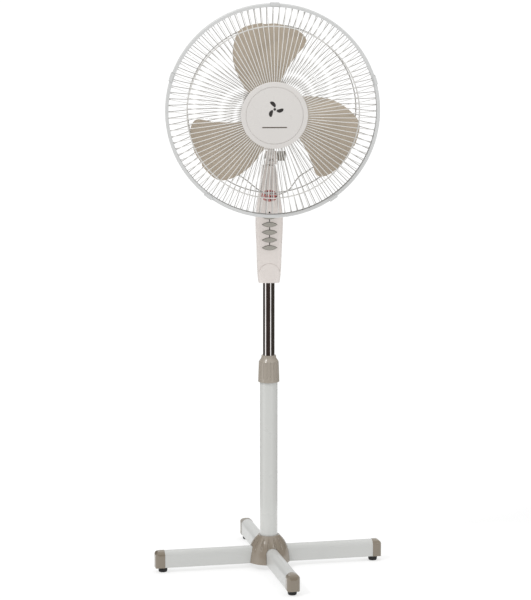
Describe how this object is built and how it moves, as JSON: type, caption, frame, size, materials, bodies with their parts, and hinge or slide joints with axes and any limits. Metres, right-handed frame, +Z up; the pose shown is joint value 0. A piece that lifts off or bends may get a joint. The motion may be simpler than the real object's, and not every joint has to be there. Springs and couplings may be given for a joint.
{
  "type": "pedestal fan",
  "caption": "Floor-standing fan with a crossed-arm base, telescopic pole, push-button column and a tilting, oscillating caged blade head.",
  "frame": {"origin": "on the floor, on the pole axis, at the centre of the crossed arms", "axes": "+Z up the pole, -Y the way the fan blows at rest, +X to the right seen from the front"},
  "size_m": [0.4958, 0.4958, 1.2168],
  "materials": {
    "arm_paint": "satin white powder coat",
    "pole_paint": "gloss white paint",
    "accent_plastic": "warm grey, fine grain",
    "foot_rubber": "matt black",
    "zinc_steel": "bright zinc plate",
    "nylon": "natural nylon",
    "chrome_tube": "polished",
    "housing_plastic": "satin white",
    "button_plastic": "satin grey beige",
    "dark_plastic": "matt black",
    "lamp_red": "clear red",
    "lamp_grille_plastic": "translucent pale pink",
    "bulb_glass": "clear",
    "cast_alloy": "die cast",
    "core_steel": "laminated",
    "shaft_steel": "ground",
    "bronze": "sintered",
    "grille_wire": "white coated wire",
    "rim_plastic": "satin white",
    "badge_plastic": "satin white",
    "nut_plastic": "warm grey",
    "blade_plastic": "semi gloss beige"
  },
  "bodies": {
    "base": {"base_bar_long": "arm_paint", "base_bar_cross": "arm_paint", "end_cap_right": "accent_plastic", "end_cap_rear": "accent_plastic", "end_cap_left": "accent_plastic", "end_cap_front": "accent_plastic", "rubber_feet": "foot_rubber", "base_cover": "accent_plastic", "pole_socket": "zinc_steel", "base_bolts": "zinc_steel", "outer_tube": "pole_paint", "tube_bush": "nylon"},
    "collar": {"lock_collar": "accent_plastic"},
    "guide": {"tube_guide": "nylon"},
    "column": {"inner_tube": "chrome_tube", "control_housing_front": "housing_plastic", "control_housing_rear": "housing_plastic", "housing_screws": "zinc_steel", "switch_body": "dark_plastic", "lamp_lens": "lamp_red", "lamp_grille": "lamp_grille_plastic", "lamp_bulb": "bulb_glass", "pilot_light": "dark_plastic", "cord_gland": "dark_plastic", "neck_bracket": "housing_plastic"},
    "knob": {"tilt_bolt": "zinc_steel", "tilt_knob": "accent_plastic"},
    "neck": {"neck_yoke": "housing_plastic"},
    "head": {"gearbox_housing": "cast_alloy", "motor_bell_front": "cast_alloy", "motor_bell_rear": "cast_alloy", "motor_bearings": "bronze", "motor_screws": "zinc_steel", "stator": "core_steel", "motor_cover": "housing_plastic", "front_grille_spokes": "grille_wire", "front_grille_rings": "grille_wire", "rear_grille_spokes": "grille_wire", "rear_grille_rings": "grille_wire", "grille_nut": "nut_plastic", "rim_ring": "rim_plastic", "grille_badge": "badge_plastic"},
    "blade": {"rotor_core": "core_steel", "rotor_shaft": "shaft_steel", "fan_blade": "blade_plastic", "blade_nut": "nut_plastic"},
    "wheel": {"worm_wheel": "nylon"},
    "crank": {"crank_disc": "nylon"},
    "link": {"crank_link": "nylon"},
    "clutch": {"clutch_knob": "accent_plastic"},
    "button_off": {"button_off": "button_plastic"},
    "button_low": {"button_low": "button_plastic"},
    "button_medium": {"button_medium": "button_plastic"},
    "button_high": {"button_high": "button_plastic"},
    "button_light": {"button_light": "button_plastic"},
    "clip_1": {"rim_clip_1": "rim_plastic"},
    "clip_2": {"rim_clip_2": "rim_plastic"},
    "clip_3": {"rim_clip_3": "rim_plastic"},
    "clip_4": {"rim_clip_4": "rim_plastic"},
    "clip_5": {"rim_clip_5": "rim_plastic"}
  },
  "joints": [
    {"name": "height_slide", "type": "slide", "parent": "base", "child": "guide", "axis": [0, 0, 1], "range_m": [-0.145, 0.095]},
    {"name": "column_turn", "type": "hinge", "parent": "guide", "child": "column", "pos_m": [0, 0, 0.4], "axis": [0, 0, 1], "range_deg": [-180, 180]},
    {"name": "collar_turn", "type": "hinge", "parent": "base", "child": "collar", "pos_m": [0, 0, 0.44], "axis": [0, 0, 1], "range_deg": [0, 150]},
    {"name": "head_tilt", "type": "hinge", "parent": "column", "child": "neck", "pos_m": [0, 0, 0.89], "axis": [1, 0, 0], "range_deg": [-23, 17]},
    {"name": "knob_turn", "type": "hinge", "parent": "column", "child": "knob", "pos_m": [0.02, 0, 0.89], "axis": [1, 0, 0], "range_deg": [0, 270]},
    {"name": "oscillation", "type": "hinge", "parent": "neck", "child": "head", "pos_m": [0, -0.00583, 1.00135], "axis": [0, -0.0523, 0.9986], "range_deg": [-35, 35]},
    {"name": "blade_spin", "type": "hinge", "parent": "head", "child": "blade", "pos_m": [0, -0.00583, 1.00135], "axis": [0, 0.9986, 0.0523], "continuous": true},
    {"name": "wheel_turn", "type": "hinge", "parent": "head", "child": "wheel", "pos_m": [0.014, 0.01414, 1.00239], "axis": [0, -0.0523, 0.9986], "continuous": true},
    {"name": "crank_turn", "type": "hinge", "parent": "head", "child": "crank", "pos_m": [0.02, 0.0176, 0.97454], "axis": [0, -0.0523, 0.9986], "range_deg": [-92, 92]},
    {"name": "link_turn", "type": "hinge", "parent": "crank", "child": "link", "pos_m": [0.02, 0.03034, 0.9722], "axis": [0, -0.0523, 0.9986], "range_deg": [-92, 92]},
    {"name": "clutch_pull", "type": "slide", "parent": "head", "child": "clutch", "axis": [0, -0.0523, 0.9986], "range_m": [0, 0.006]},
    {"name": "press_off", "type": "slide", "parent": "column", "child": "button_off", "axis": [0, 1, 0], "range_m": [0, 0.003], "stiffness_N_per_m": 300},
    {"name": "press_low", "type": "slide", "parent": "column", "child": "button_low", "axis": [0, 1, 0], "range_m": [0, 0.003], "stiffness_N_per_m": 300},
    {"name": "press_medium", "type": "slide", "parent": "column", "child": "button_medium", "axis": [0, 1, 0], "range_m": [0, 0.003], "stiffness_N_per_m": 300},
    {"name": "press_high", "type": "slide", "parent": "column", "child": "button_high", "axis": [0, 1, 0], "range_m": [0, 0.003], "stiffness_N_per_m": 300},
    {"name": "press_light", "type": "slide", "parent": "column", "child": "button_light", "axis": [0, 1, 0], "range_m": [0, 0.003], "stiffness_N_per_m": 300},
    {"name": "clip_1_swing", "type": "hinge", "parent": "head", "child": "clip_1", "pos_m": [0.21039, -0.12924, 1.05929], "axis": [-0.2924, -0.05, 0.955], "range_deg": [0, 95]},
    {"name": "clip_2_swing", "type": "hinge", "parent": "head", "child": "clip_2", "pos_m": [0.00384, -0.13738, 1.21472], "axis": [-0.9998, -0.0009, 0.0174], "range_deg": [0, 95]},
    {"name": "clip_3_swing", "type": "hinge", "parent": "head", "child": "clip_3", "pos_m": [-0.20801, -0.12962, 1.06658], "axis": [-0.3256, 0.0495, -0.9442], "range_deg": [0, 95]},
    {"name": "clip_4_swing", "type": "hinge", "parent": "head", "child": "clip_4", "pos_m": [-0.1324, -0.11668, 0.8196], "axis": [0.7986, 0.0315, -0.601], "range_deg": [0, 95]},
    {"name": "clip_5_swing", "type": "hinge", "parent": "head", "child": "clip_5", "pos_m": [0.12619, -0.11644, 0.81509], "axis": [0.8192, -0.03, 0.5728], "range_deg": [0, 95]}
  ],
  "couplings": [
    {"joint": "wheel_turn", "follows": "blade_spin", "ratio": 0.05},
    {"joint": "crank_turn", "follows": "oscillation", "ratio": -2.5714},
    {"joint": "link_turn", "follows": "oscillation", "ratio": 2.5714}
  ]
}
